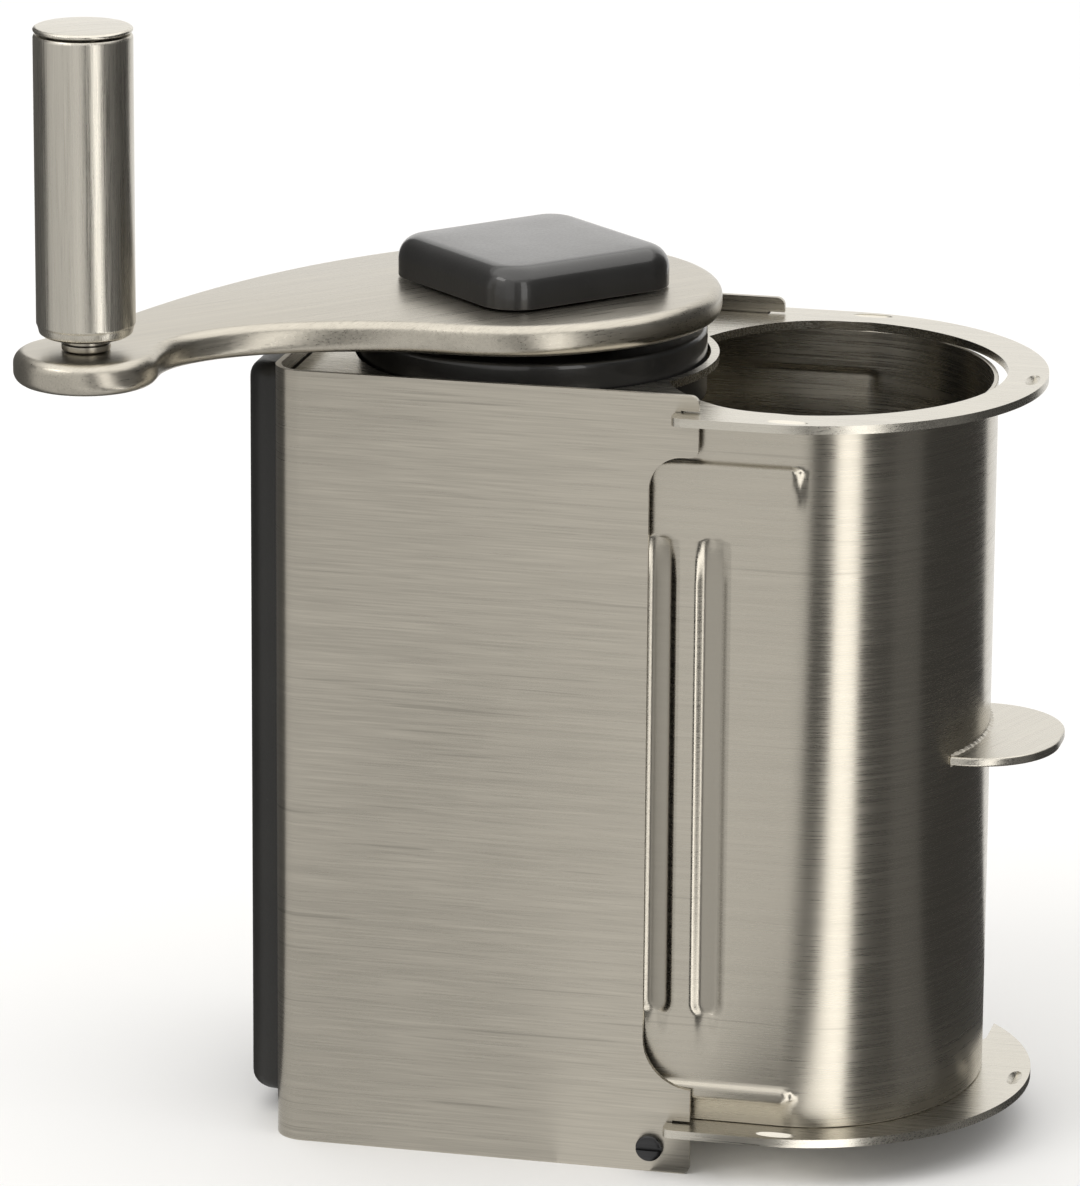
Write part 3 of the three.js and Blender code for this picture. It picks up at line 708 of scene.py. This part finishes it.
# Painted shade: this per-vertex value is 1 at the bottoms of the rib grooves, where the pusher's colour
# is darkened as shade; it also makes them rougher.
groove_shade_and_dull_layer = pusher.data.attributes.new("groove_shade_and_dull", "FLOAT", "POINT")
for vertex in pusher.data.vertices:
    px, pz = (vertex.co.x - AXIS.x) / MM, vertex.co.z / MM
    depth = -press(px, pz) / RIB_DEPTH
    groove_shade_and_dull_layer.data[vertex.index].value = min(1.0, max(0.0, 4 * depth - 3)) if px < 47 else 0.0
fitted(pusher, "slide", "pusher_steel", pusher_steel, "pusher")


def tab_outline():
    half, reach, r = TAB_HALF, TAB_REACH, TAB_CORNER
    out = arc(reach - r, -half + r, r, 270, 360, 14) + arc(reach - r, half - r, r, 0, 90, 14)
    for k in range(25):
        y = half - 2 * half * k / 24
        out.append((PUSH_X + PUSH_REACH * math.sqrt(1 - (y / PUSH_HALF) ** 2) - 0.05, y))
    return cleaned(out)


tab = bevelled(prism("finger_tab_plate", tab_outline(), *TAB_Z), 0.3, 3)
fitted(tab, "slide", "pusher_steel", tab_steel, "finger_tab")


def weld_bead(z, lift):
    """The seam between the tab and the pusher: a low uneven fillet."""
    verts, faces = [], []
    count = 60
    for k in range(count + 1):
        y = 13.4 - 26.8 * k / count
        x = PUSH_X + PUSH_REACH * math.sqrt(1 - (y / PUSH_HALF) ** 2)
        size = 0.55 + 0.14 * math.sin(k * 2.1) + 0.05 * math.sin(k * 5.3)
        verts += [(x - 0.2, y, z), (x + size, y, z), (x + 0.35 * size, y, z + 0.35 * size * lift),
                  (x - 0.2, y, z + size * lift)]
    for k in range(count):
        for i in range(4):
            j = (i + 1) % 4
            faces.append((4 * k + i, 4 * k + j, 4 * k + 4 + j, 4 * k + 4 + i))
    faces += [(0, 1, 2, 3), tuple(4 * count + i for i in (3, 2, 1, 0))]
    return verts, faces


for label, z, lift in (("upper", TAB_Z[1] - 0.05, 1), ("lower", TAB_Z[0] + 0.05, -1)):
    bead = smoothed(build(f"tab_weld_{label}", *weld_bead(z, lift)), 80)
    fitted(bead, "slide", "pusher_steel", pusher_steel)


# --- drum ----------------------------------------------------------------------

DRUM_R = 24.0
DRUM_WALL = 0.6
DRUM_Z = (7.9, 104.2)
CELLS_ROUND = 34
CELL_ROWS = 20
CELL = 6
DRUM_BANDS = (8.0, 7.0)  # plain bands below and above the grating


def drum_mesh():
    """A tube with rows of small punched holes, each with a raised cutting lip."""
    n = CELLS_ROUND * CELL
    low, high = DRUM_Z[0] + DRUM_BANDS[0], DRUM_Z[1] - DRUM_BANDS[1]
    levels = [DRUM_Z[0], DRUM_Z[0] + 4] + [
        low + (high - low) * k / (CELL_ROWS * CELL) for k in range(CELL_ROWS * CELL + 1)
    ] + [DRUM_Z[1] - 3, DRUM_Z[1]]
    verts, faces = [], []
    for wall in (0.0, DRUM_WALL):
        for k, z in enumerate(levels):
            row = k - 2
            inside = 0 <= row <= CELL_ROWS * CELL
            for i in range(n):
                lift, di, dz = 0.0, 0.0, 0.0
                if inside:
                    band = min(row // CELL, CELL_ROWS - 1)
                    shift = CELL // 2 if band % 2 else 0
                    u = ((i + shift) % CELL) / CELL - 0.5
                    v = row / CELL - band - 0.5
                    far = math.hypot(u, v)
                    lip = math.exp(-((far - 0.2) / 0.13) ** 2) if far < 0.5 else 0.0
                    lift = 0.75 * lip * (0.35 + 0.65 * ease(0.5 + 1.6 * u))
                    if 0.1 < far < 0.3:
                        di, dz = u * (0.2 / far - 1) * CELL, v * (0.2 / far - 1)
                angle = 2 * math.pi * (i + di) / n
                r = DRUM_R - 0.15 - wall + lift
                verts.append((r * math.cos(angle), r * math.sin(angle),
                              z + dz * (high - low) / CELL_ROWS))
    rows = len(levels)
    half = rows * n

    def holed(k, i):
        row = k - 2
        if not 0 <= row < CELL_ROWS * CELL:
            return False
        shift = CELL // 2 if (row // CELL) % 2 else 0
        return (row % CELL) in (2, 3) and ((i + shift) % CELL) in (2, 3)

    for k in range(rows - 1):
        for i in range(n):
            j = (i + 1) % n
            a, b, c, d = k * n + i, k * n + j, (k + 1) * n + j, (k + 1) * n + i
            if not holed(k, i):
                faces.append((a, b, c, d))
                faces.append((half + a, half + d, half + c, half + b))
                continue
            sides = ((-1, 0, a, b), (1, 0, c, d), (0, -1, d, a), (0, 1, b, c))
            for up_step, round_step, p, q in sides:
                if not holed(k + up_step, (i + round_step) % n):
                    faces.append((q, p, half + p, half + q))
    for i in range(n):
        j = (i + 1) % n
        top = (rows - 1) * n
        faces.append((i, half + i, half + j, j))
        faces.append((top + i, top + j, half + top + j, half + top + i))
    return verts, faces


drum = smoothed(build("grating_drum_tube", *drum_mesh()), 50)
fitted(drum, "crank", "drum_steel", drum_steel, "grating_drum")

skirt_foot, skirt_top, boss_top = 99, DRUM_Z[1] + GAP, ARM_Z[0] - GAP
cap_profile = [(0, DRUM_CAP_WEB), (SKIRT[0], DRUM_CAP_WEB), (SKIRT[0], skirt_foot),
               (SKIRT[1], skirt_foot), (SKIRT[1], skirt_top), (DRUM_CAP_R, skirt_top),
               (DRUM_CAP_R, DRUM_CAP_TOP), (BOSS_R, DRUM_CAP_TOP), (BOSS_R, boss_top), (0, boss_top)]
drum_cap = smoothed(build("drum_cap_moulding", *lathe(filleted(cap_profile, 0.8))), 50)
fitted(drum_cap, "crank", "cap_plastic", cap_plastic, "drum_top_cap")

ring_profile = [(20.4, 10), (20.4, 6.6), (22.3, 6.6), (22.3, 7.9), (23.1, 7.9), (23.1, 13.9),
                (20.4, 13.9), (20.4, 10)]
foot_ring = build("drum_ring_moulding", *lathe(filleted(ring_profile, 0.35)[:-1], closed=True))
fitted(smoothed(foot_ring, 50), "crank", "cap_plastic", cap_plastic, "drum_bottom_ring")


# --- crank ---------------------------------------------------------------------

def arm_outline():
    reach = ARM_LENGTH
    hub = arc(0, 0, HUB_R, *HUB_ARC, 120)
    out = hub + bezier(hub[-1], *ARM_BACK, (reach + EYE_JOIN[0], EYE_JOIN[1]), 40)
    out += arc(reach, 0, EYE_R, *EYE_ARC, 60)
    out += bezier(out[-1], *ARM_NECK, 24)
    out += bezier(ARM_NECK[-1], *ARM_FRONT, 30)
    out += bezier(ARM_FRONT[-1], *ARM_SHOULDER, hub[0], 24)
    return resampled(cleaned(out), 0.7)


arm = build("crank_arm_blade", *pillow(arm_outline(), *ARM_Z, 1.6, 1.7, 7, turn=ARM_TURN))
eye_hole = prism("tool", arc(KNOB.x, KNOB.y, ARM_EYE_HOLE, 0, 360, 48)[:-1], 110, 125)
smoothed(boolean(arm, eye_hole), 40)
fitted(arm, "crank", "arm_steel", arm_steel, "crank_arm")

cap_square = rounded_box(-CAP_HALF, -CAP_HALF, CAP_HALF, CAP_HALF, CAP_CORNER, 12)
cap_outline = resampled(cap_square, 0.6)
crank_cap = build(
    "crank_cap_moulding", *pillow(cap_outline, *CAP_Z, *CAP_EDGES, 9, 0.12, ARM_TURN)
)
fitted(smoothed(crank_cap, 60), "crank", "cap_plastic", cap_plastic, "crank_cap")

spindle_profile = [(0, 116.34), (2.6, 116.34), (2.6, 120.6), (3.35, 120.6), (3.35, 121.5),
                   (3.0, 121.5), (3.0, 122.5), (2.6, 122.5), (2.6, 158), (0, 158)]
spindle = build("knob_spindle_turned", *lathe(filleted(spindle_profile, 0.18), 64, KNOB.x, KNOB.y))
fitted(smoothed(spindle, 35), "crank", "fastener_steel", bolt_steel, "knob_spindle")

sleeve_middle = 140  # the closed profile starts and ends here, inside the bore
sleeve_profile = [(KNOB_BORE, sleeve_middle), (KNOB_BORE, KNOB_FOOT), (5.85, KNOB_FOOT),
                  (6.35, KNOB_FOOT + 0.35), (6.6, KNOB_FOOT + 1.35), (KNOB_R, KNOB_FOOT + 1.65),
                  (KNOB_R, KNOB_TOP - 0.4), (KNOB_R - 0.2, KNOB_TOP), (KNOB_BORE, KNOB_TOP),
                  (KNOB_BORE, sleeve_middle)]
sleeve = build(
    "knob_sleeve_tube", *lathe(filleted(sleeve_profile, 0.12)[:-1], 128, KNOB.x, KNOB.y, True)
)
fitted(smoothed(sleeve, 30), "handle", "knob_steel", knob_steel, "knob_sleeve")

disc_profile = [(0, 160.5), (5.0, 160.5), (5.0, 164.2), (6.3, 164.2), (KNOB_R, 164.45),
                (KNOB_R, 164.75), (KNOB_R - 0.35, 164.98), (4, 165.05), (0, 165.1)]
disc = build("knob_disc", *lathe(filleted(disc_profile, 0.15), 128, KNOB.x, KNOB.y))
fitted(smoothed(disc, 40), "handle", "knob_steel", disc_steel, "knob_top_cap")


# --- grip and screws -----------------------------------------------------------

grip_low, grip_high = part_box("palm_grip")
GRIP_X0 = (grip_low.x - AXIS.x) / MM
GRIP_X1 = (grip_high.x - AXIS.x) / MM
GRIP_HALF = 20.0
grip_plan = arc(GRIP_X0 + 4, -GRIP_HALF + 4, 4, 180, 270, 12)
grip_plan += [(GRIP_X1, -GRIP_HALF), (GRIP_X1, GRIP_HALF)]
grip_plan += arc(GRIP_X0 + 4, GRIP_HALF - 4, 4, 90, 180, 12)
grip = build(
    "palm_grip_block",
    *pillow(cleaned(grip_plan), grip_low.z / MM, grip_high.z / MM, 2.4, 2.4, 7, flat_x=GRIP_X1),
)
fitted(smoothed(grip, 50), "frame", "grip_plastic", grip_plastic, "palm_grip")


def tie_screw(node, side):
    """A low cheese head with a driver slot, turned about y."""
    face = BODY_HALF + 0.12
    profile = [(0, face), (1.9, face), (1.9, face + 0.8), (1.5, face + 0.95), (0, face + 0.98)]
    verts, faces = lathe(filleted(profile, 0.2), 48)
    verts = [(TIE_X + x, side * z, TIE_Z + y) for x, y, z in verts]
    head = build(node + "_head", verts, faces)
    cut = sorted((side * (face + 0.5), side * (face + 3)))
    boolean(head, box_tool(TIE_X - 3, TIE_X + 3, *cut, TIE_Z - 0.28, TIE_Z + 0.28))
    return fitted(smoothed(head, 35), "frame", "black_screw", dark_screw, node)


tie_screw("tie_screw_front", -1)
tie_screw("tie_screw_rear", 1)

KEPT = {
    "tie_bar": bolt_steel, "grip_screw_lower": bolt_steel, "grip_screw_upper": bolt_steel,
    "hub_washer": bolt_steel, "hub_screw": bolt_steel, "drive_post": bolt_steel,
    "knob_washer": bolt_steel, "knob_axle_screw": bolt_steel,
    "knob_bush_lower": bush_plastic, "knob_bush_upper": bush_plastic,
}
for node, material in KEPT.items():
    mesh_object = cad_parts[node]
    for holder in mesh_object.material_slots:
        holder.material = material


# --- stage, light and camera ---------------------------------------------------

floor = build("floor", [(-3000, -3000, 0), (3000, -3000, 0), (3000, 3000, 0), (-3000, 3000, 0)],
              [(0, 1, 2, 3)])
floor_paint = Nodes("floor_paint")
floor_paint.shader.inputs["Base Color"].default_value = (0.84, 0.84, 0.84, 1)
floor_paint.shader.inputs["Roughness"].default_value = 0.9
floor_paint.shader.inputs["Specular IOR Level"].default_value = 0.1
floor.data.materials.append(floor_paint.material)


WARM_WHITE = (1, 0.985, 0.96)
CARD_X = 20  # the ring of cards stands round the object, not round the drum
CARD_RINGS = ((30, 0.15), (640, 0.15), (640, 620.0))  # radius and height of a card's three edges


def card(name, start, end, tone):
    """A studio flag round the object, lying and then standing, that shows only in reflections."""
    n = 24
    verts = []
    for radius, z in CARD_RINGS:
        for k in range(n + 1):
            a = math.radians(start + (end - start) * k / n - 90)
            verts.append((CARD_X + radius * math.cos(a), radius * math.sin(a), z))
    faces = []
    for row in (0, n + 1):
        faces += [(row + k, row + k + 1, row + n + 2 + k, row + n + 1 + k) for k in range(n)]
    obj = build(name, verts, faces)
    paint = Nodes(name + "_paint")
    paint.shader.inputs["Base Color"].default_value = (0, 0, 0, 1)
    paint.shader.inputs["Roughness"].default_value = 1.0
    paint.shader.inputs["Specular IOR Level"].default_value = 0.0
    paint.shader.inputs["Emission Color"].default_value = (*WARM_WHITE, 1)
    paint.shader.inputs["Emission Strength"].default_value = tone
    obj.data.materials.append(paint.material)
    obj.visible_camera = False
    obj.visible_diffuse = False
    obj.visible_shadow = False


card("flag_left", -145, -74, 0.10)
card("flag_front_left", -74, -16, 0.66)
card("flag_front", -16, 9, 0.86)
card("flag_gap", 9, 28, 0.06)
card("flag_strip", 28, 46, 2.3)
card("flag_right", 46, 70, 0.10)
card("flag_far_right", 70, 90, 0.16)
card("flag_rear_right", 90, 150, 0.07)


def lamp(name, at, aim, size, power, tall=None):
    data = bpy.data.lights.new(name, "AREA")
    data.shape = "RECTANGLE"
    data.size = size
    data.size_y = tall or size
    data.energy = power
    data.color = WARM_WHITE
    obj = bpy.data.objects.new(name, data)
    obj.location = at
    obj.rotation_euler = (Vector(aim) - Vector(at)).to_track_quat("-Z", "Y").to_euler()
    bpy.context.scene.collection.objects.link(obj)


CENTRE = (0, 0, 0.08)
lamp("overhead", (0.1, 0.1, 1.5), CENTRE, 2.4, 16)
lamp("key_left", (-0.9, -0.9, 1.1), CENTRE, 0.8, 7)
away = (-math.sin(AZIMUTH), math.cos(AZIMUTH))
lamp("rear", (1.7 * away[0], 1.7 * away[1], 0.62), CENTRE, 3, 4.4, tall=1.2)

world = bpy.data.worlds.new("studio")
world.use_nodes = True
world.node_tree.nodes["Background"].inputs["Color"].default_value = (1, 0.99, 0.97, 1)
world.node_tree.nodes["Background"].inputs["Strength"].default_value = 0.75
bpy.context.scene.world = world
bpy.context.scene.view_settings.view_transform = "Standard"

camera_data = bpy.data.cameras.new("camera")
camera_data.lens = LENS
camera_data.sensor_width = 36
camera_data.clip_start = 0.05
camera_data.clip_end = 20
camera = bpy.data.objects.new("camera", camera_data)
bpy.context.scene.collection.objects.link(camera)
back = Vector((
    math.sin(AZIMUTH) * math.cos(ELEVATION),
    -math.cos(AZIMUTH) * math.cos(ELEVATION),
    math.sin(ELEVATION),
))
right = Vector((math.cos(AZIMUTH), math.sin(AZIMUTH), 0))
up = back.cross(right)
tilted_right = right * math.cos(ROLL) + up * math.sin(ROLL)
tilted_up = up * math.cos(ROLL) - right * math.sin(ROLL)
target = Vector((AXIS.x + AIM[0] * MM, AXIS.y + AIM[1] * MM, AIM[2] * MM))
turn = Matrix((tilted_right, tilted_up, back)).transposed()
camera.matrix_world = Matrix.Translation(target + back * DISTANCE) @ turn.to_4x4()
bpy.context.scene.camera = camera
